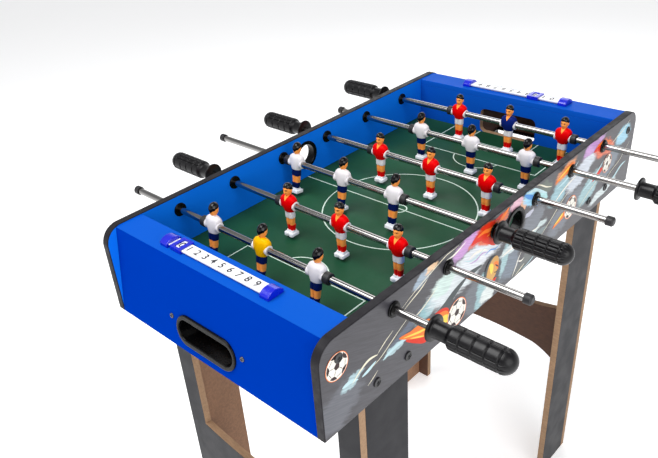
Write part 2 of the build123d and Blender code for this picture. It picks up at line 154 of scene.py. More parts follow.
class Shader:
    """A Principled material, with short ways to add nodes to it."""

    def __init__(self, name, **settings):
        self.material = bpy.data.materials.new(name)
        self.material.use_nodes = True
        self.tree = self.material.node_tree
        self.surface = self.tree.nodes["Principled BSDF"]
        self.spot = self.tree.nodes.new("ShaderNodeTexCoord").outputs["Object"]
        self.set(**settings)

    def plug(self, socket, value):
        if isinstance(value, bpy.types.NodeSocket):
            self.tree.links.new(value, socket)
        else:
            socket.default_value = value

    def set(self, **settings):
        for name, value in settings.items():
            self.plug(self.surface.inputs[name.replace("_", " ")], value)

    def add(self, kind, inputs, out=0, **options):
        node = self.tree.nodes.new("ShaderNode" + kind)
        for key, value in options.items():
            setattr(node, key, value)
        for socket, value in inputs.items():
            self.plug(node.inputs[socket], value)
        return node.outputs[out]

    def noise(self, scale, detail=3.0, stretch=(1, 1, 1), at=None, rough=0.5, out=0):
        place = self.add("Mapping", {"Vector": at or self.spot, "Scale": stretch})
        settings = {"Vector": place, "Scale": scale, "Detail": detail, "Roughness": rough}
        return self.add("TexNoise", settings, out)

    def span(self, value, low, high, to_low=0.0, to_high=1.0):
        """A value's rise from low to high, eased, as a number from to_low to to_high."""
        settings = {0: value, 1: low, 2: high, 3: to_low, 4: to_high}
        return self.add("MapRange", settings, interpolation_type="SMOOTHSTEP")

    def spot_at(self, across, height, half_across, half_height):
        """1 inside an oval seen from the front, on both sides of the middle, 0 outside it."""
        apart = self.add("SeparateXYZ", {0: self.spot}).node.outputs
        side = self.math("SUBTRACT", self.math("ABSOLUTE", apart[1]), across * MM)
        side = self.math("DIVIDE", side, half_across * MM)
        rise = self.math("DIVIDE", self.math("SUBTRACT", apart[2], height * MM), half_height * MM)
        squares = [self.math("MULTIPLY", part, part) for part in (side, rise)]
        inside = self.span(self.math("SQRT", self.math("ADD", *squares)), 1.15, 0.85)
        return self.math("MULTIPLY", inside, self.span(apart[0], *FACE_FRONT))

    def math(self, operation, a, b=0.0):
        return self.add("Math", {0: a, 1: b}, operation=operation)

    def mix(self, factor, a, b, blend="MIX"):
        return self.add("Mix", {0: factor, 6: a, 7: b}, 2, data_type="RGBA", blend_type=blend)

    def bump(self, height, distance, strength=1.0):
        depth = {"Height": height, "Distance": distance * MM, "Strength": strength}
        self.set(Normal=self.add("Bump", depth))


def shade(colour, factor):
    return (*[c * factor for c in colour[:3]], 1)


def plastic(name, colour, roughness, grain=0.03, grain_scale=2600, variation=0.12, **settings):
    """Moulded plastic: faint mottling in colour and gloss, and a fine grain."""
    s = Shader(name, **settings)
    mottle = s.noise(55, 4)
    s.set(Base_Color=s.mix(mottle, shade(colour, 1 - variation), shade(colour, 1 + variation)))
    s.set(Roughness=s.span(s.noise(120, 3), 0.3, 0.7, roughness * 0.85, min(roughness * 1.2, 1)))
    s.bump(s.noise(grain_scale, 2), grain)
    return s.material


def laminate(name, colour, roughness, sheen=0.02, **settings):
    """Printed foil on board: a faint texture, soft wear in the gloss and a little dust."""
    s = Shader(name, Specular_IOR_Level=sheen, **settings)
    tone = s.mix(s.noise(7, 5), shade(colour, 0.95), shade(colour, 1.05))
    dust = s.span(s.noise(900, 4, rough=0.8), 0.66, 0.8, 0.0, 0.10)
    s.set(Base_Color=s.mix(dust, tone, shade(colour, 1.5)))
    s.set(Roughness=s.span(s.noise(30, 5), 0.3, 0.7, roughness * 0.9, roughness * 1.15))
    s.bump(s.noise(1400, 2), 0.02)
    return s.material


def fibre_board(name, colour, dark, light, roughness=0.7):
    """Brown fibre board: short fibres pressed flat, with flecks."""
    s = Shader(name)
    fibre = s.noise(260, 6, (1, 0.35, 1), rough=0.7)
    blotch = s.noise(14, 4)
    tone = s.mix(s.span(fibre, 0.3, 0.7), shade(colour, dark), shade(colour, light))
    tone = s.mix(s.span(blotch, 0.35, 0.7, 0.0, 0.35), tone, shade(colour, dark * 0.8))
    fleck = s.span(s.noise(900, 2), 0.68, 0.78, 0.0, 0.5)
    s.set(Base_Color=s.mix(fleck, tone, shade(colour, 1.8)), Roughness=roughness)
    s.bump(fibre, 0.12)
    return s.material


def chrome():
    """Chromed tube with fine scratches along it and a faint haze."""
    s = Shader("rod_chrome", Metallic=1.0)
    along = s.noise(300, 3, (1, 0.02, 1))
    haze = s.noise(40, 5)
    s.set(Base_Color=s.mix(haze, srgb(150, 148, 146), srgb(172, 170, 168)))
    s.set(Roughness=s.span(along, 0.35, 0.75, 0.14, 0.17))
    return s.material


def field_print():
    """The green pitch: a worn satin print, with broad tone changes and rubbed patches."""
    s = Shader("field_print", Specular_IOR_Level=0.12)
    broad = s.noise(6, 4)
    fine = s.noise(320, 5, rough=0.7)
    tone = s.mix(s.span(broad, 0.3, 0.7), srgb(22, 66, 44), srgb(32, 80, 54))
    tone = s.mix(s.span(fine, 0.3, 0.75, 0.0, 0.35), tone, srgb(28, 68, 44))
    s.set(Base_Color=tone, Roughness=s.span(s.noise(18, 5), 0.3, 0.7, 0.38, 0.58))
    s.bump(fine, 0.03)
    return s.material


PRINT_WASHES = (  # along the panel, height on it, half length, half height, tilt, colour
    (-322, 30, 40, 26, 20, (96, 98, 106)),
    (-205, 60, 38, 7, 14, (84, 96, 116)),
    (-300, 49, 18, 5, 8, (170, 198, 204)),
    (-232, 46, 24, 5, 4, (176, 204, 210)),
    (-186, 107, 20, 7, 20, (160, 178, 194)),
    (-170, 112, 12, 4, 14, (242, 204, 164)),
    (-176, 62, 26, 12, 24, (142, 186, 192)),
    (-118, 72, 62, 24, 6, (226, 234, 236)),
    (-148, 80, 24, 14, 10, (212, 234, 226)),
    (-88, 24, 21, 24, 0, (100, 106, 114)),
    (-69, 22, 13, 26, -12, (150, 188, 192)),
    (-54, 12, 17, 13, -24, (224, 232, 228)),
    (-128, 98, 13, 9, 10, (124, 104, 130)),
    (-104, 107, 28, 11, 6, (206, 152, 214)),
    (-72, 79, 48, 14, -8, (230, 234, 240)),
    (-58, 101, 32, 15, -8, (238, 98, 46)),
    (-93, 99, 11, 5, 4, (218, 112, 106)),
    (-30, 107, 15, 8, 4, (224, 112, 70)),
    (-4, 28, 24, 22, -24, (112, 124, 138)),
    (-19, 42, 9, 24, -12, (164, 200, 204)),
    (0, 51, 34, 6, 0, (216, 228, 228)),
    (2, 109, 15, 7, 0, (240, 190, 206)),
    (18, 100, 9, 8, -30, (242, 182, 140)),
    (34, 105, 22, 11, -14, (160, 216, 244)),
    (64, 92, 17, 9, -22, (178, 228, 230)),
    (48, 67, 27, 17, 0, (114, 120, 130)),
    (36, 84, 13, 4, 6, (190, 192, 208)),
    (72, 104, 20, 9, -24, (92, 104, 92)),
    (36, 12, 36, 11, 12, (92, 98, 96)),
    (58, 49, 28, 5, 2, (206, 222, 222)),
    (64, 37, 26, 6, 2, (116, 132, 134)),
    (112, 78, 32, 16, 20, (150, 192, 202)),
    (140, 38, 52, 24, 20, (108, 114, 124)),
    (126, 103, 28, 9, 12, (236, 152, 92)),
    (174, 82, 42, 16, 16, (216, 224, 234)),
    (205, 107, 36, 9, 8, (204, 152, 214)),
    (240, 92, 32, 13, -10, (238, 104, 50)),
    (208, 44, 38, 18, 18, (160, 198, 204)),
    (266, 58, 38, 20, 18, (116, 128, 140)),
    (304, 90, 26, 14, 12, (162, 216, 238)),
    (258, 18, 44, 8, 8, (216, 228, 228)),
)


def panel_print(name, side):
    """The side panel's print: airbrushed washes over dark grey, under a thin clear coat."""
    s = Shader(name, Roughness=0.34, Specular_IOR_Level=0.35, Coat_Weight=0.12, Coat_Roughness=0.15)
    apart = s.add("SeparateXYZ", {0: s.spot})
    x = s.math("MULTIPLY", apart, side / MM)
    z = s.math("SUBTRACT", s.math("MULTIPLY", apart.node.outputs[2], 1 / MM), PANEL_BOTTOM)
    flat = s.add("CombineXYZ", {0: x, 1: z})
    slanted = s.add("VectorRotate", {0: flat, "Angle": math.radians(22)}, rotation_type="Z_AXIS")
    streak = s.noise(0.07, 7, (0.3, 2.2, 1), at=slanted, rough=0.7)
    hairs = s.noise(0.22, 5, (0.16, 3.0, 1), at=slanted, rough=0.6)
    swirl = s.noise(0.035, 5, at=flat, out=1, rough=0.6)
    drift = s.add("VectorMath", {0: swirl, 1: (-0.5, -0.5, -0.5)}, operation="ADD")
    drift = s.add("VectorMath", {0: drift, "Scale": 22.0}, operation="SCALE")
    moved = s.add("VectorMath", {0: flat, 1: drift}, operation="ADD")
    moved = s.add("VectorMath", {0: moved, 1: (1, 1, 0)}, operation="MULTIPLY")
    ragged = s.span(streak, 0.25, 0.75, 0.16, -0.16)
    colour = s.mix(s.span(streak, 0.3, 0.7), srgb(56, 54, 60), srgb(70, 69, 76))
    for u, v, length, height, tilt, paint in PRINT_WASHES:
        place = {0: moved, 1: (u, v, 0), 2: (0, 0, math.radians(tilt)), 3: (length, height, 1)}
        local = s.add("Mapping", place, vector_type="TEXTURE")
        reach = s.add("VectorMath", {0: local}, 1, operation="LENGTH")
        colour = s.mix(s.span(s.math("ADD", reach, ragged), 1.12, 0.72), colour, srgb(*paint))
    grain = s.mix(s.span(hairs, 0.25, 0.75), (0.64, 0.65, 0.67, 1), (1.0, 1.0, 1.0, 1))
    s.set(Base_Color=s.mix(1.0, colour, grain, "MULTIPLY"))
    s.bump(s.noise(1400, 2), 0.02)
    return s.material


SKIN = srgb(255, 158, 70)
WHITE, NAVY, RED = srgb(226, 222, 224), srgb(4, 21, 76), srgb(222, 0, 4)
YELLOW, KEEPER_BLUE = srgb(240, 178, 0), srgb(10, 30, 104)
NECK_SLOPE = 2.0  # rise of the V neck's edge for each metre sideways
NECK_EDGE = (0.0070, 0.0073)  # height of the V's point, metres, with its soft edge
FACE_FRONT = (0.002, 0.003)  # how far forward the face's paint starts, metres
FACE_PAINT_AND_SHADE = (  # across, height, half width, half height, strength, colour
    # painted shade in the eye sockets
    (2.1, 21.6, 2.2, 1.4, 0.25, (150, 62, 26)),
    (2.1, 21.1, 0.8, 0.55, 0.9, (44, 22, 16)),
    (2.2, 22.7, 1.6, 0.35, 0.85, (40, 20, 14)),
    # painted shade under the nose
    (0.0, 17.4, 1.1, 0.35, 0.35, (150, 62, 26)),
    (0.0, 15.7, 1.7, 0.35, 0.7, (170, 40, 30)),
    # painted shade in the crease under the lower lip
    (0.0, 14.3, 1.2, 0.3, 0.3, (150, 62, 26)),
)


def shirt(name, colour):
    """A painted shirt, with the V of skin at the neck."""
    s = Shader(name, Specular_IOR_Level=0.06)
    apart = s.add("SeparateXYZ", {0: s.spot}).node.outputs
    slope = s.math("MULTIPLY", s.math("ABSOLUTE", apart[1]), NECK_SLOPE)
    edge = s.math("SUBTRACT", apart[2], slope)
    front = s.math("MULTIPLY", s.span(edge, *NECK_EDGE), s.span(apart[0], 0.0, 0.0004))
    cloth = s.mix(s.noise(160, 4), shade(colour, 0.9), shade(colour, 1.06))
    skin = s.mix(s.noise(200, 3), shade(SKIN, 0.92), shade(SKIN, 1.05))
    s.set(Base_Color=s.mix(front, cloth, skin))
    s.set(Roughness=s.span(s.noise(300, 3), 0.3, 0.7, 0.3, 0.42))
    s.bump(s.noise(420, 3), 0.10)
    return s.material


def painted_face():
    """A doll's plain face: skin with a darker brow, eyes and mouth, and painted shade by eyes, nose
    and lip.
    """
    s = Shader("face_paint_and_shade", Specular_IOR_Level=0.3)
    colour = s.mix(s.noise(200, 3), shade(SKIN, 0.94), shade(SKIN, 1.05))
    for across, height, wide, tall, strength, paint in FACE_PAINT_AND_SHADE:
        mask = s.math("MULTIPLY", s.spot_at(across, height, wide, tall), strength)
        colour = s.mix(mask, colour, srgb(*paint))
    s.set(Base_Color=colour, Roughness=s.span(s.noise(300, 3), 0.3, 0.7, 0.3, 0.42))
    s.bump(s.noise(700, 2), 0.03)
    return s.material


def paint_coat(name, colour, roughness=0.34):
    return plastic(name, colour, roughness, 0.05, 700, 0.06, Specular_IOR_Level=0.12)


PRINT_PAINTS = {
    "cream": (228, 222, 200), "cyan": (186, 214, 220), "sky": (96, 150, 214),
    "lilac": (186, 150, 206), "smoke": (76, 82, 84), "tan": (206, 158, 92),
    "ball_white": (236, 232, 222), "ball_dark": (58, 44, 44), "flame_red": (214, 48, 24),
    "flame_orange": (240, 122, 48), "flame_yellow": (246, 208, 84),
}
M = {
    "field": field_print(),
    "line": plastic("line_print", srgb(205, 226, 212), 0.45, 0.02, 900, 0.1),
    "blue": laminate("blue_laminate", srgb(10, 82, 186), 0.4),
    # the same blue laminate, darkened as painted shade for the end panels' outer faces
    "blue_end_painted_shade": laminate("blue_laminate_painted_shade", srgb(0, 52, 162), 0.4, 0.0),
    # the same blue laminate, lightened as painted light for the side panels' inner faces
    "blue_inner_painted_light": laminate("blue_laminate_painted_light", srgb(12, 114, 230), 0.4),
    "front_print": panel_print("front_print", 1),
    "back_print": panel_print("back_print", -1),
    "banding": plastic(
        "edge_banding", srgb(26, 24, 29), 0.5, 0.06, 1500, 0.12, Specular_IOR_Level=0.2
    ),
    "board_face": laminate("leg_face", srgb(34, 34, 38), 0.45, 0.15),
    # raw fibre board, darkened as painted shade; the leg boards get a lightened copy of the same
    # board
    "board_raw_painted_shade": fibre_board("board_raw_painted_shade", srgb(86, 54, 35), 0.75, 1.15),
    # the same raw fibre board, lightened as painted light for the leg boards' inner faces
    "leg_raw_painted_light": fibre_board("leg_raw_painted_light", srgb(146, 108, 80), 0.8, 1.15),
    "board_cut": fibre_board("board_cut", srgb(158, 126, 96), 0.8, 1.12, 0.8),
    "black": plastic(
        "black_plastic", srgb(5, 5, 6), 0.26, 0.04, 1800, 0.2, Specular_IOR_Level=0.18
    ),
    "grip": plastic(
        "handle_plastic", srgb(8, 7, 10), 0.32, 0.05, 1100, 0.22, Specular_IOR_Level=0.3
    ),
    "rubber": plastic("black_rubber", srgb(26, 25, 28), 0.5, 0.08, 1400, 0.2),
    "chrome": chrome(),
    "white_strip": plastic("white_plastic", srgb(238, 238, 240), 0.35, 0.02, 1500, 0.04),
    "digit": plastic("digit_print", srgb(30, 30, 40), 0.5, 0.01, 1500, 0.1),
    "blue_cap": plastic(
        "blue_plastic", srgb(8, 24, 190), 0.24, 0.02, 1800, 0.14, Coat_Weight=0.4
    ),
    "screw": plastic("black_screw", srgb(88, 88, 94), 0.18, 0.02, 2400, 0.3, Metallic=0.9),
    "bolt": plastic("bolt_plastic", srgb(26, 26, 29), 0.36, 0.03, 1800, 0.2),
    "skin": plastic("skin", SKIN, 0.36, 0.04, 700, 0.06),
    "face": painted_face(),
    "hair": plastic("hair", srgb(4, 3, 5), 0.06, 0.02, 900, 0.3, Specular_IOR_Level=0.35),
    "boot": paint_coat("boot_paint", srgb(230, 232, 236)),
}


# ---- Building meshes ----


def smoothed(rows, steps):
    """Rows of numbers with more between them, on a Catmull-Rom curve."""
    out = []
    last = len(rows) - 1
    for i in range(last):
        four = [rows[max(i - 1, 0)], rows[i], rows[i + 1], rows[min(i + 2, last)]]
        for k in range(steps):
            t = k / steps
            row = []
            for p, q, r, s in zip(*four):
                bend = 2 * p - 5 * q + 4 * r - s + t * (3 * (q - r) + s - p)
                row.append(q + 0.5 * t * (r - p + t * bend))
            out.append(tuple(row))
    out.append(tuple(rows[-1]))
    return out


def oval(z, x, y, half_x, half_y, power=2.0, count=28):
    """A level ring, from an ellipse (power 2) towards a rounded rectangle (power 4 and more)."""
    ring = []
    for k in range(count):
        c, s = math.cos(TAU * k / count), math.sin(TAU * k / count)
        across = math.copysign(abs(c) ** (2 / power), c)
        along = math.copysign(abs(s) ** (2 / power), s)
        ring.append((x + half_x * across, y + half_y * along, z))
    return ring


class Shape:
    """Points and faces in millimetres, with a material number for each face."""

    def __init__(self):
        self.points, self.faces, self.paints = [], [], []

    def face(self, corners, paint):
        self.faces.append(tuple(corners))
        self.paints.append(paint)

    def rings(self, rings, paint=0, closed=True, caps=True):
        start, count = len(self.points), len(rings[0])
        for ring in rings:
            self.points.extend(ring)
        for i in range(len(rings) - 1):
            for j in range(count if closed else count - 1):
                a, b = start + i * count + j, start + i * count + (j + 1) % count
                self.face((a, b, b + count, a + count), paint)
        if caps:
            self.face(range(start, start + count), paint)
            self.face(range(len(self.points) - count, len(self.points)), paint)

    def stack(self, rows, paint=0, steps=3, power=2.0, count=28):
        """Level ovals (z, x, y, half_x, half_y), joined smoothly."""
        self.rings([oval(*row, power=power, count=count) for row in smoothed(rows, steps)], paint)

    def limb(self, rows, paint=0, steps=4, count=16):
        """A limb through (x, y, z, radius, flatness) rows, each ring square to the path."""
        path = smoothed(rows, steps)
        rings = []
        for i, (x, y, z, radius, flat) in enumerate(path):
            here, there = path[max(i - 1, 0)], path[min(i + 1, len(path) - 1)]
            along = (Vector(there[:3]) - Vector(here[:3])).normalized()
            side = along.cross(Vector((1, 0, 0))).normalized()
            front = side.cross(along)
            ring = []
            for k in range(count):
                angle = TAU * k / count
                offset = side * math.cos(angle) * radius + front * math.sin(angle) * radius * flat
                ring.append(tuple(Vector((x, y, z)) + offset))
            rings.append(ring)
        self.rings(rings, paint)

    def turned(self, profile, paint=0, count=48, caps=True):
        """A turned form about the Y direction, from (y, radius) points."""
        rings = []
        for y, radius in profile:
            angles = [TAU * k / count for k in range(count)]
            rings.append([(radius * math.cos(a), y, radius * math.sin(a)) for a in angles])
        self.rings(rings, paint, caps=caps)

    def mesh(self, name, materials, sharp=40.0):
        mesh = bpy.data.meshes.new(name)
        mesh.from_pydata([Vector(p) * MM for p in self.points], [], self.faces)
        for material in materials:
            mesh.materials.append(material)
        mesh.polygons.foreach_set("material_index", self.paints)
        bm = bmesh.new()
        bm.from_mesh(mesh)
        bmesh.ops.recalc_face_normals(bm, faces=bm.faces)
        bm.to_mesh(mesh)
        bm.free()
        mesh.shade_smooth()
        mesh.set_sharp_from_angle(angle=math.radians(sharp))
        return mesh


def piece(name, mesh, body, slot, *replaced, at=None):
    """An object that rides on a body and may stand for CAD nodes."""
    thing = bpy.data.objects.new(name, mesh)
    bpy.context.scene.collection.objects.link(thing)
    if at is not None:
        thing.matrix_world = at
    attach(thing, body)
    if replaced:
        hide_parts(*replaced)
    return thing


def softened(node, body, slot, width, materials, paint=None, segments=2):
    """A copy of a CAD node's shape with its sharp edges rounded, painted face by face."""
    mesh = NODES[node].data.copy()
    mesh.name = f"{node}_visual"
    mesh.materials.clear()
    for material in materials:
        mesh.materials.append(material)
    bm = bmesh.new()
    bm.from_mesh(mesh)
    bmesh.ops.remove_doubles(bm, verts=bm.verts, dist=0.004 * MM)
    bmesh.ops.dissolve_limit(bm, angle_limit=math.radians(1), verts=bm.verts, edges=bm.edges)
    edges = [e for e in bm.edges if e.is_manifold and e.calc_face_angle(0) > math.radians(35)]
    bmesh.ops.bevel(
        bm, geom=edges, offset=width * MM, segments=segments, profile=0.5, affect="EDGES"
    )
    for face in bm.faces:
        face.smooth = True
        face.material_index = paint(face.normal, face.calc_center_median() / MM) if paint else 0
    bm.to_mesh(mesh)
    bm.free()
    mesh.set_sharp_from_angle(angle=math.radians(50))
    thing = piece(f"{node}_visual", mesh, body, slot, node)
    thing.modifiers.new("even_normals", "WEIGHTED_NORMAL").keep_sharp = True
    return thing


def finish_node(node, material):
    """A CAD node that keeps its shape and gets a better material."""
    data = NODES[node].data
    data.materials.clear()
    data.materials.append(material)


# ---- Boards ----


def by_direction(outward, plain=0, face=1, inner=2):
    """Paints a board: one finish on its outward side, one on the other, one on the edges."""
    way = Vector(outward).normalized()

    def paint(normal, _):
        turn = normal.dot(way)
        return face if turn > 0.9 else inner if turn < -0.9 else plain

    return paint


def boards():
    prints = {"front": (M["front_print"], -1), "back": (M["back_print"], 1)}
    for side, (skin, way) in prints.items():
        softened(
            f"{side}_side_panel", "table", "printed_panel", 0.35,
            [M["banding"], skin, M["blue_inner_painted_light"]], by_direction((0, way, 0)),
        )
    softened("edge_trims", "table", "edge_banding", 0.4, [M["banding"]])
    softened(
        "playfield", "table", "green_field", 0.2,
        [M["board_raw_painted_shade"], M["field"]], by_direction((0, 0, 1), 0, 1, 0),
    )
    for end, way in (("near", -1), ("far", 1)):

        def wall_paint(normal, at, way=way):
            if normal.x * way < -0.9:
                return 1
            edge = abs(normal.x) < 0.9
            mouth = abs(at.y - MIDDLE_Y) < 50 and at.z < 626
            return 2 if edge and mouth else 1 if edge else 0

        softened(
            f"{end}_goal_wall", "table", "blue_laminate", 0.45,
            [M["board_raw_painted_shade"], M["blue"], M["board_cut"]], wall_paint,
        )
        softened(f"{end}_ledge", "table", "blue_laminate", 0.8, [M["blue"]], segments=3)

        def end_paint(normal, at, way=way):
            if normal.x * way > 0.3 or normal.z > 0.2:
                return 1
            return 2 if normal.x * way < -0.5 else 0

        softened(
            f"{end}_end_panel", "table", "blue_laminate", 0.5,
            [M["board_cut"], M["blue_end_painted_shade"], M["board_raw_painted_shade"]], end_paint,
        )
        softened(
            f"{end}_end_frame", "table", "leg_board", 0.6,
            [M["board_cut"], M["board_face"], M["board_raw_painted_shade"]], by_direction((way, 0, 0)),
        )

        def leg_paint(normal, at):
            outward = normal.y * math.copysign(1, at.y - MIDDLE_Y)
            return 1 if outward > 0.9 else 2 if outward < -0.9 else 0

        softened(
            f"{end}_leg_boards", "table", "leg_board", 0.6,
            [M["board_cut"], M["board_face"], M["leg_raw_painted_light"]], leg_paint,
        )
        softened(f"{end}_ball_cup", "table", "black_plastic", 0.25, [M["black"]])
        softened(f"{end}_score_slider", f"{end}_score_slider", "blue_plastic", 0.3, [M["blue_cap"]])
    softened("score_strips", "table", "white_plastic", 0.3, [M["white_strip"]])
    softened("score_end_caps", "table", "blue_plastic", 0.4, [M["blue_cap"]])
    softened("ball_entry_rings", "table", "black_plastic", 0.6, [M["black"]], segments=3)
    softened("rod_bushings", "table", "black_plastic", 0.3, [M["black"]])
    finish_node("panel_bolts", M["bolt"])
    finish_node("cup_screws", M["screw"])


# ---- Pitch markings, digits ----


def ribbon(shape, points, width, level, paint=0, closed=False):
    """A flat line of even width through (x, y) points."""
    rows = []
    count = len(points)
    for i, (x, y) in enumerate(points):
        before = points[i - 1] if closed or i else points[0]
        after = points[(i + 1) % count] if closed or i < count - 1 else points[-1]
        along = (Vector(after) - Vector(before)).normalized()
        side = Vector((-along.y, along.x)) * width / 2
        rows.append([(x - side.x, y - side.y, level), (x + side.x, y + side.y, level)])
    if closed:
        rows.append(rows[0])
    shape.rings(rows, paint, closed=False, caps=False)


def arc(x, y, radius, start, end, count=48):
    angles = [math.radians(start + (end - start) * k / count) for k in range(count + 1)]
    return [(x + radius * math.cos(a), y + radius * math.sin(a)) for a in angles]


def pitch_lines():
    """Centre line and circles, and at each end the boxes and the arc."""
    print_y = MIDDLE_Y - 5  # the print sits a little towards the front
    level = FIELD_TOP + 0.06
    width = 1.7
    box_x, box_y, small_x, small_y = 192.0, 99.0, 247.0, 52.0
    shape = Shape()
    ribbon(shape, [(0, MIDDLE_Y - INNER_Y + 0.3), (0, MIDDLE_Y + INNER_Y - 0.3)], width, level)
    ribbon(shape, arc(0, print_y, 106, 0, 360, 128)[:-1], width, level, closed=True)
    ribbon(shape, arc(0, print_y, 10.5, 0, 360, 40)[:-1], width, level, closed=True)
    for way in (-1, 1):
        for reach, half in ((box_x, box_y), (small_x, small_y)):
            for side in (-1, 1):
                end = (way * (FIELD_X - 0.3), print_y + side * half)
                ribbon(shape, [(way * (reach - width / 2), end[1]), end], width, level)
            cross = [(way * reach, print_y - half), (way * reach, print_y + half)]
            ribbon(shape, cross, width, level)
        spread = math.degrees(math.acos(10 / 39))
        middle = 180 if way > 0 else 0
        bow = arc(way * 202, print_y, 39, middle - spread, middle + spread)
        ribbon(shape, bow, width, level)
    piece("pitch_lines", shape.mesh("pitch_lines", [M["line"]]), "table", "green_field")


def digit_mesh(text, size):
    curve = bpy.data.curves.new(f"digit_{text}", "FONT")
    curve.body = text
    curve.size = size * MM
    curve.align_x, curve.align_y = "CENTER", "CENTER"
    curve.extrude = 0.04 * MM
    curve.offset = DIGIT_BOLD * MM
    curve.resolution_u = 4
    holder = bpy.data.objects.new(f"digit_{text}", curve)
    bpy.context.scene.collection.objects.link(holder)
    bpy.context.view_layer.update()
    graph = bpy.context.evaluated_depsgraph_get()
    mesh = bpy.data.meshes.new_from_object(holder.evaluated_get(graph))
    bpy.data.objects.remove(holder)
    mesh.materials.clear()
    mesh.materials.append(M["digit"])
    return mesh


def score_digits():
    """The numbers 0 to 9 on both counters."""
    strips = box_mm("score_strips")
    counter_x = strips[1].x - 8
    digits = [digit_mesh(str(k), DIGIT_SIZE) for k in range(DIGITS)]
    for end, way in (("near", -1), ("far", 1)):
        for k in range(DIGITS):
            y = MIDDLE_Y - way * ((DIGITS - 1) / 2 - k) * DIGIT_PITCH
            place = Matrix.Translation(Vector((way * counter_x, y, STRIP_TOP + 0.1)) * MM)
            turn = Matrix.Rotation(math.radians(-90 if way < 0 else 90), 4, "Z")
            piece(f"{end}_digit_{k}", digits[k], "table", "white_plastic", at=place @ turn)


# ---- Printed pictures on the side panels ----

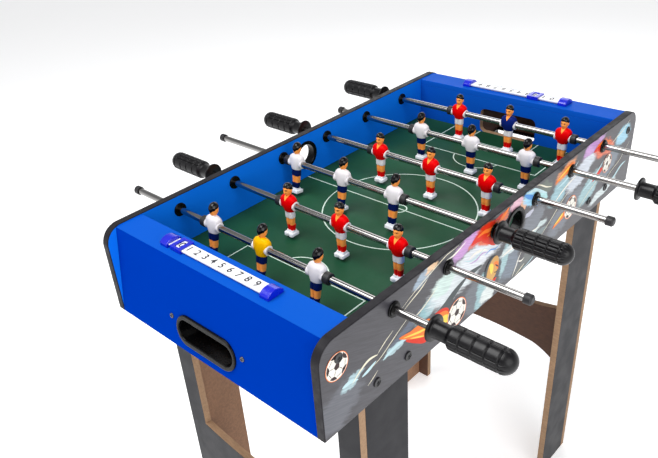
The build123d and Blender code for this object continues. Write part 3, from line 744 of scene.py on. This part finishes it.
STROKES = (  # paint, greatest width, where along it that is, points (along the panel, height)
    ("cyan", 5.0, 0.4, ((-316, 50), (-304, 50), (-292, 45))),
    ("cyan", 4.5, 0.5, ((-287, 44), (-276, 46), (-264, 50))),
    ("cyan", 4.6, 0.4, ((-254, 43), (-238, 47), (-220, 47), (-204, 44))),
    ("cream", 1.2, 0.5, ((-279, 26.5), (-270, 31), (-262, 36))),
    ("cream", 3.2, 0.6, ((-302, 45), (-288, 54), (-275, 58.5), (-261, 56))),
    ("cream", 1.3, 0.5, ((-273, 46), (-258, 49), (-240, 58), (-222, 67), (-204, 75))),
    ("cream", 1.4, 0.4, ((-262, 57), (-249, 65), (-236, 71))),
    ("cream", 1.8, 0.7, ((-222, 84), (-206, 90), (-191, 95), (-177, 102))),
    ("cream", 1.3, 0.6, ((-228, 87), (-200, 98), (-165, 108), (-141, 114), (-120, 116))),
    ("cream", 1.8, 0.3, ((-204, 65), (-188, 68), (-172, 75), (-158, 82))),
    ("ball_white", 2.6, 0.5, ((-144, 107), (-132, 106), (-121, 108), (-106, 112))),
    ("smoke", 11, 0.45, ((-168, 44), (-146, 46), (-124, 55), (-100, 63))),
    ("smoke", 8, 0.35, ((-106, 65), (-92, 63), (-70, 62))),
    ("flame_red", 11, 0.75, ((-216, 44), (-204, 38), (-190, 30), (-176, 20))),
    ("flame_orange", 12, 0.8, ((-227, 54), (-212, 48), (-196, 41), (-174, 32))),
    ("flame_orange", 9, 0.8, ((-216, 50), (-200, 48), (-184, 46), (-170, 42))),
    ("flame_yellow", 3.0, 0.7, ((-220, 50), (-204, 44.5), (-190, 40), (-176, 37))),
    ("flame_yellow", 2.0, 0.7, ((-208, 42), (-196, 36), (-182, 29))),
    ("flame_red", 9, 0.6, ((-166, 46), (-150, 42), (-136, 36))),
    ("flame_orange", 10, 0.7, ((-168, 38), (-152, 38), (-136, 30))),
    ("flame_yellow", 10, 0.7, ((-160, 32), (-146, 30), (-132, 22))),
    ("flame_red", 12, 0.5, ((-96, 101), (-82, 104), (-64, 100), (-48, 92))),
    ("flame_red", 10, 0.5, ((-78, 114), (-62, 109), (-48, 107), (-30, 112))),
    ("flame_red", 8, 0.4, ((-74, 96), (-60, 90), (-46, 80), (-40, 76))),
    ("flame_orange", 5, 0.5, ((-84, 105), (-70, 106), (-56, 103), (-40, 108))),
    ("flame_orange", 4, 0.5, ((-64, 97), (-52, 98), (-40, 103), (-26, 112))),
    ("flame_orange", 5, 0.5, ((-34, 104), (-26, 108), (-16, 115))),
    ("ball_white", 3.2, 0.5, ((-100, 84), (-86, 86), (-70, 82), (-60, 77))),
    ("cyan", 2.0, 0.5, ((-110, 88), (-94, 80), (-80, 80), (-66, 84))),
    ("lilac", 1.6, 0.5, ((-98, 78), (-84, 75), (-72, 78), (-58, 74))),
    ("sky", 1.8, 0.5, ((-66, 72), (-54, 74), (-42, 70), (-34, 72))),
    ("ball_white", 4.0, 0.5, ((-26, 50), (0, 50), (30, 51), (66, 49))),
    ("sky", 6, 0.4, ((18, 114), (30, 107), (42, 100), (54, 84))),
    ("cyan", 5, 0.5, ((22, 115), (40, 112), (56, 104), (78, 92))),
    ("cream", 2.0, 0.5, ((48, 116), (60, 110), (74, 102), (90, 96))),
    ("ball_white", 2.6, 0.4, ((4, 4), (12, 16), (16, 24), (24, 34))),
    ("ball_white", 2.2, 0.5, ((16, 22), (24, 18), (32, 19))),
    ("cream", 1.8, 0.5, ((10, 2), (24, 6), (34, 10))),
    ("cyan", 2.0, 0.5, ((28, 2), (42, 4), (56, 8), (70, 18))),
    ("cream", 1.4, 0.5, ((70, 30), (96, 44), (124, 60), (152, 70))),
    ("ball_white", 3.0, 0.5, ((96, 64), (118, 74), (140, 80), (166, 84))),
    ("cyan", 4.0, 0.5, ((104, 86), (124, 88), (144, 94), (160, 104))),
    ("flame_orange", 9, 0.75, ((98, 96), (116, 100), (132, 104), (150, 106))),
    ("flame_yellow", 3.0, 0.7, ((104, 98), (120, 102), (136, 106))),
    ("flame_orange", 9, 0.8, ((104, 26), (116, 30), (126, 33), (140, 36))),
    ("flame_yellow", 4, 0.8, ((108, 30), (120, 33), (132, 38))),
    ("cream", 1.4, 0.5, ((176, 20), (196, 32), (220, 42), (246, 50))),
    ("cyan", 5.0, 0.5, ((186, 48), (206, 52), (226, 60), (246, 72))),
    ("flame_red", 11, 0.5, ((206, 98), (222, 100), (240, 94), (256, 84))),
    ("flame_orange", 5, 0.5, ((212, 102), (228, 104), (244, 100), (262, 96))),
    ("flame_red", 8, 0.8, ((214, 50), (228, 55), (244, 60))),
    ("cream", 1.8, 0.5, ((262, 88), (280, 94), (300, 98), (322, 108))),
    ("cream", 1.3, 0.5, ((256, 30), (280, 42), (306, 50), (332, 70))),
    ("cyan", 4.5, 0.5, ((270, 22), (290, 26), (312, 36), (330, 38))),
)
BALLS = ((-120, 23.5, 19), (-321, 82, 16), (152, 38, 17), (258, 62, 14))  # place, height, radius


class Print:
    """Flat shapes laid one over another on both side panels, each a little further out."""

    PAINTS = list(PRINT_PAINTS)
    LIFT, STEP = 0.08, 0.004  # height of the first shape over the panel, and of each one more

    def __init__(self):
        self.shape = Shape()
        self.level = 0

    def area(self, outline, paint, same_level=False):
        self.level += 0 if same_level else 1
        start = len(self.shape.points)
        out = OUTER_Y + self.LIFT + self.STEP * self.level
        self.shape.points.extend((u, -out, PANEL_BOTTOM + v) for u, v in outline)
        self.shape.face(range(start, start + len(outline)), self.PAINTS.index(paint))

    def stroke(self, paint, width, peak, points):
        """A brush stroke, pointed at both ends and widest at the peak."""
        path = smoothed(points, 8)
        last = len(path) - 1
        left, right = [], []
        for i, (u, v) in enumerate(path):
            t = i / last
            along = (Vector(path[min(i + 1, last)]) - Vector(path[max(i - 1, 0)])).normalized()
            swell = t / peak if t < peak else (1 - t) / (1 - peak)
            half = max(width / 2 * math.sin(math.pi / 2 * swell) ** 0.8, 0.02)
            v = min(max(v, half + 1), PANEL_TOP - PANEL_BOTTOM - 1.6 - half)
            left.append((u - along.y * half, v + along.x * half))
            right.append((u + along.y * half, v - along.x * half))
        self.level += 1
        for i in range(last):
            quad = (left[i], left[i + 1], right[i + 1], right[i])
            self.area(quad, paint, same_level=True)

    def disc(self, u, v, radius, paint, squeeze=1.0, turn=0.0, count=40):
        ring = arc(0, 0, radius, 0, 360, count)[:-1]
        cos, sin = math.cos(turn), math.sin(turn)
        spots = [(x * squeeze, y) for x, y in ring]
        self.area([(u + x * cos - y * sin, v + x * sin + y * cos) for x, y in spots], paint)

    def football(self, u, v, radius):
        """A plain ball seen square on: a dark patch in the middle and five round the edge."""
        self.disc(u, v, radius, "flame_orange")
        self.disc(u, v, radius * 0.95, "ball_white")
        patch = [72 * k + 100 for k in range(5)]
        self.area(self.around(u, v, radius * 0.27, patch), "ball_dark")
        for angle in patch:
            near = self.around(u, v, radius * 0.27, [angle])[0]
            far = self.around(u, v, radius * 0.64, [angle])[0]
            self.stroke("ball_dark", 0.7, 0.5, (near, far))
            sides = [angle - 17, angle + 17]
            corners = self.around(u, v, radius * 0.92, [angle + 22, angle, angle - 22])
            self.area(
                self.around(u, v, radius * 0.64, [angle])
                + self.around(u, v, radius * 0.76, sides[:1])
                + corners[::-1]
                + self.around(u, v, radius * 0.76, sides[1:]),
                "ball_dark",
            )
            side = self.around(u, v, radius * 0.76, [angle + 17, angle + 55])
            self.stroke("ball_dark", 0.7, 0.5, side)

    def around(self, u, v, radius, angles):
        spots = [(math.cos(math.radians(a)), math.sin(math.radians(a))) for a in angles]
        return [(u + radius * x, v + radius * y) for x, y in spots]

    def glowing_ball(self, u, v, radius):
        """A ball in warm light, with a dark edge on one side and strokes for its shadows."""
        self.disc(u - 3, v + 1, radius, "smoke", 0.8, -0.4)
        self.disc(u, v, radius * 0.96, "tan", 0.72, -0.4)
        self.stroke("flame_yellow", 8, 0.5, ((u - 8, v + 10), (u - 3, v + 4), (u - 2, v - 6)))
        self.stroke("flame_orange", 6, 0.5, ((u + 2, v + 8), (u + 9, v + 3), (u + 12, v - 6)))
        self.stroke("tan", 5, 0.5, ((u + 4, v + 2), (u + 7, v - 5), (u + 2, v - 11)))
        self.stroke("ball_dark", 2, 0.4, ((u + 5, v + 4), (u + 10, v), (u + 13, v - 3)))
        self.stroke("ball_dark", 1.6, 0.5, ((u + 3, v - 6), (u + 8, v - 8), (u + 12, v - 7)))
        self.stroke("flame_red", 8, 0.5, ((u - 16, v - 11), (u - 4, v - 19), (u + 10, v - 17)))


def printed_pictures():
    art = Print()
    for stroke in STROKES:
        art.stroke(*stroke)
    for ball in BALLS:
        art.football(*ball)
    art.glowing_ball(-46, 43, 18)
    paints = [paint_coat(name, srgb(*colour)) for name, colour in PRINT_PAINTS.items()]
    mesh = art.shape.mesh("panel_pictures", paints)
    middle = Matrix.Translation((0, MIDDLE_Y * MM, 0))
    for side, turn in (("front", 0.0), ("back", math.pi)):
        place = middle @ Matrix.Rotation(turn, 4, "Z")
        piece(f"{side}_panel_pictures", mesh, "table", "printed_panel", at=place)


# ---- Rods ----


def grip_mesh():
    """The moulded grip: flange, neck and a body of raised pads that fade into a domed end."""
    handle, tube = box_mm("rod_1_handle"), rod_place(1).translation / MM
    start, tip = tube.y - handle[1].y, tube.y - handle[0].y
    flange_r, neck_r, body_r = 14.5, 9.3, 12.8
    neck_end, shoulder, dome = start + 19, start + 24, tip - body_r
    wide, narrow, rows = 70, 22, 5
    cuts = [half + wide + narrow * k for half in (0, 180) for k in range(rows + 1)]
    rings = [start + 34.2 + 13.7 * k for k in range(4)]
    profile = [(start, 4.3), (start, flange_r - 0.7), (start + 0.25, flange_r - 0.2)]
    profile += [(start + 0.9, flange_r), (start + 1.7, flange_r), (start + 2.4, flange_r - 0.3)]
    profile += [(start + 2.6, flange_r - 1.0), (start + 2.8, neck_r + 1.6)]
    profile += [(start + 3.4, neck_r + 0.4), (start + 4.4, neck_r), (neck_end - 1, neck_r)]
    for k in range(9):
        t = k / 8
        radius = neck_r + (body_r - neck_r) * t * t * (3 - 2 * t)
        profile.append((neck_end + (shoulder - neck_end) * t, radius))
    steps = 120
    for k in range(1, steps + 1):
        profile.append((shoulder + (dome - shoulder) * k / steps, body_r))
    for k in range(1, 23):
        angle = math.pi / 2 * k / 22
        profile.append((dome + body_r * math.sin(angle), body_r * math.cos(angle) + 0.02))

    def dip(distance, half):
        """1 in the middle of a groove, falling to 0 at its rounded edges."""
        t = min(abs(distance) / half, 1)
        return (1 - t * t) ** 2

    shape = Shape()
    surface = []
    count = 180
    for y, radius in profile:
        ring_dip = dip(min(abs(y - groove) for groove in rings), 1.35)
        fade = min(max((y - shoulder + 2) / 3, 0), 1) * min(max((dome + 8 - y) / 6, 0), 1)
        ring = []
        for j in range(count):
            degrees = 360 * j / count
            gap = min(abs((degrees - cut + 180) % 360 - 180) for cut in cuts)
            row_dip = dip(math.radians(gap) * body_r, 1.1) * fade
            r = max(radius - 1.4 * max(ring_dip * fade, row_dip), 0.01)
            angle = math.radians(degrees)
            ring.append((-r * math.sin(angle), -y, r * math.cos(angle)))
        surface.append(ring)
    shape.rings(surface)
    return shape.mesh("grip", [M["grip"]], 70)


def tube_mesh(name, place):
    """A rod's tube, finely divided all round so that its long highlight runs clean."""
    low, high = box_mm(f"{name}_tube")
    radius = (high.z - low.z) / 2
    first, last = sorted((place.inverted() @ (corner * MM)).y / MM for corner in (low, high))
    steps = 60
    profile = [(first + (last - first) * k / steps, radius) for k in range(steps + 1)]
    shape = Shape()
    shape.turned(profile, count=64)
    return shape.mesh(f"{name}_tube", [M["chrome"]])


def rods():
    grip = grip_mesh()
    for number in RODS:
        rod = name = f"rod_{number}"
        place = rod_place(number)
        tube = tube_mesh(name, place)
        piece(f"{name}_tube_visual", tube, rod, "rod_chrome", f"{name}_tube", at=place)
        turned = place @ Matrix.Rotation(math.radians(GRIP_TURN[number]), 4, "Y")
        piece(f"{name}_grip", grip, rod, "handle_plastic", f"{name}_handle", at=turned)
        softened(f"{name}_end_cap", rod, "black_rubber", 0.3, [M["rubber"]])
        softened(f"{name}_stoppers", rod, "black_rubber", 0.5, [M["rubber"]], segments=3)
        softened(f"{name}_sleeves", f"{name}_bearing", "black_plastic", 0.15, [M["black"]])


# ---- Players, standing upright, facing +X, the rod's axis at the origin ----


FACE = (  # across, height, half width, half height, rise of each soft form on the face
    (0.0, 19.7, 1.0, 2.3, 1.4),
    (0.0, 18.4, 1.3, 0.9, 0.8),
    (2.0, 22.5, 1.9, 0.8, 0.55),
    (2.1, 21.1, 1.2, 0.8, -0.8),
    (2.1, 21.0, 0.7, 0.5, 0.4),
    (3.3, 18.6, 1.6, 1.8, 0.35),
    (0.0, 16.2, 1.7, 0.45, 0.4),
    (0.0, 15.2, 1.4, 0.45, 0.4),
    (0.0, 15.7, 1.9, 0.22, -0.3),
    (0.0, 13.6, 1.7, 1.1, 0.5),
)
EAR = (  # height, place forward, half length, half width
    (18.4, -0.3, 0.5, 0.4), (19.2, -0.4, 1.1, 0.7), (20.6, -0.6, 1.5, 0.9),
    (21.9, -0.8, 1.2, 0.8), (22.6, -0.9, 0.5, 0.4),
)
HEAD_Z, HEAD_HALF = 21.0, (6.0, 5.3, 9.3)


def head_point(turn, down, swell=1.0):
    """A point on the head: turn about the vertical from the face, and angle down from the crown."""
    z = math.cos(down) * HEAD_HALF[2]
    jaw = 1 - 0.30 * max(-z / HEAD_HALF[2], 0) ** 1.5
    x = math.sin(down) * math.cos(turn) * HEAD_HALF[0] * (1 if math.cos(turn) > 0 else 1.06)
    y = math.sin(down) * math.sin(turn) * HEAD_HALF[1] * jaw
    return Vector((x * swell, y * swell, HEAD_Z + z * (1 + (swell - 1) * 0.3)))


def head(shape, paint):
    rings = []
    for i in range(1, 40):
        down = math.pi * i / 40
        ring = []
        for k in range(56):
            p = head_point(TAU * k / 56, down)
            if p.x > 0:
                for y, z, wide, tall, rise in FACE:
                    off = (abs(p.y) - y) / wide
                    p.x += rise * math.exp(-(off ** 2) - ((p.z - z) / tall) ** 2) * min(p.x / 3, 1)
            ring.append(tuple(p))
        rings.append(ring)
    shape.rings(rings, paint)
    for side in (-1, 1):
        shape.stack([(z, x, side * 5.15, hx, hy) for z, x, hx, hy in EAR], paint, count=14)


def hair(shape, paint):
    """A full cap of hair that stands out all round, low at the back, with a fringe in front."""
    rings = []
    rows, count = 26, 72
    for i in range(1, rows + 1):
        t = i / rows
        ring = []
        for k in range(count):
            turn = TAU * k / count
            front = (1 + math.cos(turn)) / 2
            line = 15.6 + 9.2 * front ** 0.6 + 0.3 * math.sin(7 * turn)
            edge = math.acos(max(min((line - HEAD_Z) / HEAD_HALF[2], 1), -1))
            lock = 0.018 * math.sin(11 * turn + 5 * t) * math.sin(math.pi * t)
            lock += 0.02 * math.sin(5 * turn - 9 * t) * math.sin(math.pi * t)
            puff = (0.13 + 0.05 * front) * math.sin(math.pi * min(t * 1.5, 1) / 2) ** 1.5
            tuck = 0.26 * (max(t - 0.72, 0) / 0.28) ** (1.2 + 2 * front)
            ring.append(tuple(head_point(turn, edge * t, 1.02 + puff + lock - tuck * t)))
        rings.append(ring)
    shape.rings(rings, paint)


BOOTS = (  # outline of both boots from the heel round to the toes, with the notch between them
    (-5.7, 0.0), (-5.7, 6.9), (-5.2, 7.35), (6.7, 7.4), (7.3, 7.0), (8.1, 4.4), (7.8, 2.2),
    (6.9, 0.2),
)
BOOT_MIDDLE = 1.1
BOOT_LEVELS = (  # height, size along and across, middle
    (-44.6, 0.98, 0.98, 1.1), (-44.4, 1, 1, 1.1), (-40.7, 1, 1, 1.1), (-40.3, 0.97, 0.97, 1.1),
    (-40.0, 0.9, 0.93, 1.0), (-39.8, 0.72, 0.82, 0.3), (-38.4, 0.63, 0.77, 0.1),
    (-37.2, 0.59, 0.73, 0.0),
)


def boots(shape, paint):
    half = list(BOOTS)
    outline = half + [(x, -y) for x, y in reversed(half[1:])]
    rings = []
    for z, along, across, middle in BOOT_LEVELS:
        rings.append([(middle + (x - BOOT_MIDDLE) * along, y * across, z) for x, y in outline])
    shape.rings(rings, paint)


def block_rows(shape, rows, paint, groove=0.0):
    """Stacked rounded blocks (z, x, half_x, half_y), with a shallow groove down front and back."""
    rings = []
    for z, x, half_x, half_y in smoothed(rows, 3):
        ring = []
        for px, py, pz in oval(z, 0, 0, half_x, half_y, 3.2, 48):
            inward = groove * max(1 - abs(py) / 1.6, 0) ** 1.5
            ring.append((x + px - math.copysign(inward, px), py, pz))
        rings.append(ring)
    shape.rings(rings, paint)


def player_mesh(name, kit):
    """kit: shirt, cuffs, shorts and socks materials."""
    shirt_m, cuffs, shorts, socks = kit
    materials = [shirt_m, cuffs, shorts, socks, M["skin"], M["hair"], M["boot"], M["face"]]
    SHIRT, CUFF, SHORTS, SOCK, BARE, HAIR, BOOT, FACE_SKIN = range(8)
    shape = Shape()
    shape.stack(
        [
            (-9.6, 0, 0, 4.9, 6.6), (-9.2, 0, 0, 5.5, 7.3), (-6.5, 0.1, 0, 6.3, 8.4),
            (-2.5, 0.3, 0, 7.2, 10.0), (1.5, 0.4, 0, 7.7, 11.2), (5.0, 0.3, 0, 7.6, 11.7),
            (8.0, 0.1, 0, 7.1, 11.6), (9.8, 0, 0, 6.4, 11.0), (11.7, -0.2, 0, 5.2, 9.2),
            (12.8, -0.3, 0, 4.2, 6.8), (13.5, -0.3, 0, 3.3, 4.6), (13.9, -0.3, 0, 2.8, 3.4),
        ],
        SHIRT, 4, 2.2, 48,
    )
    shape.stack([(11.0, -0.3, 0, 3.0, 3.1), (13.5, 0, 0, 2.9, 3.0), (16.0, 0.3, 0, 3.1, 3.2)], BARE)
    for side in (-1, 1):
        collar = [(6.5, 0.2, 6.8, 0.7, 0.6), (6.3, side * 1.7, 8.8, 0.75, 0.6)]
        collar += [(4.4, side * 3.3, 11.4, 0.8, 0.7), (0.4, side * 3.9, 13.0, 0.8, 0.8)]
        collar += [(-3.2, side * 2.0, 13.1, 0.8, 0.8), (-3.7, 0, 13.0, 0.7, 0.8)]
        shape.limb(collar, SHIRT, 4, 16)
        sleeve = [(-0.1, side * 6.4, 10.0, 2.8, 1.3), (0.0, side * 7.8, 8.0, 3.8, 1.4)]
        sleeve += [(0.2, side * 8.3, 4.8, 3.9, 1.5), (0.3, side * 8.3, 1.2, 3.9, 1.55)]
        sleeve += [(0.3, side * 8.0, -2.2, 3.7, 1.55), (0.2, side * 7.2, -5.2, 2.7, 1.45)]
        shape.limb(sleeve, SHIRT, 4, 24)
        hub = [(8.4, 5.6), (10.2, 5.9), (12.0, 6.2), (12.35, 6.0), (12.5, 5.6), (12.5, 4.3)]
        shape.turned([(side * y, r) for y, r in hub], CUFF, 40)
    trunks = [(-18.9, 0, 4.0, 5.9), (-18.7, 0, 4.6, 6.5), (-17.8, 0, 4.8, 6.8)]
    trunks += [(-13.0, 0, 4.9, 6.8), (-8.0, 0, 4.9, 6.4)]
    block_rows(shape, trunks, SHORTS, 0.7)
    leg = [(-30.0, 0.2, 3.7, 5.6), (-25.0, 0.3, 4.1, 5.9), (-21.0, 0.0, 4.2, 6.1)]
    leg += [(-18.0, 0.0, 4.2, 6.2)]
    block_rows(shape, leg, BARE, 1.3)
    sock = [(-40.0, 0.0, 3.6, 5.2), (-36.0, -0.1, 3.6, 5.3), (-31.6, -0.3, 4.1, 5.7)]
    sock += [(-30.0, -0.2, 4.3, 5.9), (-29.0, -0.1, 4.3, 5.9), (-28.8, -0.1, 3.9, 5.5)]
    block_rows(shape, sock, SOCK, 1.2)
    boots(shape, BOOT)
    head(shape, FACE_SKIN)
    hair(shape, HAIR)
    return shape.mesh(name, materials, 32)


def players():
    white, navy = paint_coat("kit_white", WHITE), paint_coat("kit_navy", NAVY)
    red = paint_coat("kit_red", RED)
    kits = {
        "white": (shirt("shirt_white", WHITE), white, navy, navy),
        "yellow": (shirt("shirt_yellow", YELLOW), white, navy, navy),
        "red": (shirt("shirt_red", RED), white, white, red),
        "blue": (shirt("shirt_blue", KEEPER_BLUE), white, white, red),
    }
    meshes = {name: player_mesh(f"player_{name}", kit) for name, kit in kits.items()}
    keepers = {1: "yellow", 6: "blue"}
    for number in RODS:
        team = "white" if number % 2 else "red"
        low, high = box_mm(f"rod_{number}_players")
        pitch = (high.y - low.y) / 2 - PLAYER_HALF_WIDTH
        for step, where in ((-1, "a"), (0, "b"), (1, "c")):
            look = keepers.get(number, team) if step == 0 else team
            lean = Matrix.Rotation(math.radians(LEAN.get(number, 0)), 4, "Y")
            place = rod_place(number) @ lean @ Matrix.Translation((0, step * pitch * MM, 0))
            piece(
                f"rod_{number}_player_{where}", meshes[look], f"rod_{number}", f"players_{team}",
                f"rod_{number}_players", at=place,
            )


# ---- Floor ----


def floor():
    s = Shader("floor", Roughness=0.7, Emission_Color=(1, 1, 1, 1), Emission_Strength=0.44)
    s.set(Base_Color=s.mix(s.noise(2, 3), (0.90, 0.90, 0.905, 1), (0.94, 0.94, 0.945, 1)))
    shape = Shape()
    grid = range(-9000, 9001, 1500)
    shape.rings([[(x, y, -0.2) for y in grid] for x in grid], closed=False, caps=False)
    ground = bpy.data.objects.new("floor", shape.mesh("floor", [s.material]))
    bpy.context.scene.collection.objects.link(ground)


camera()
studio()
floor()
boards()
pitch_lines()
score_digits()
printed_pictures()
rods()
players()
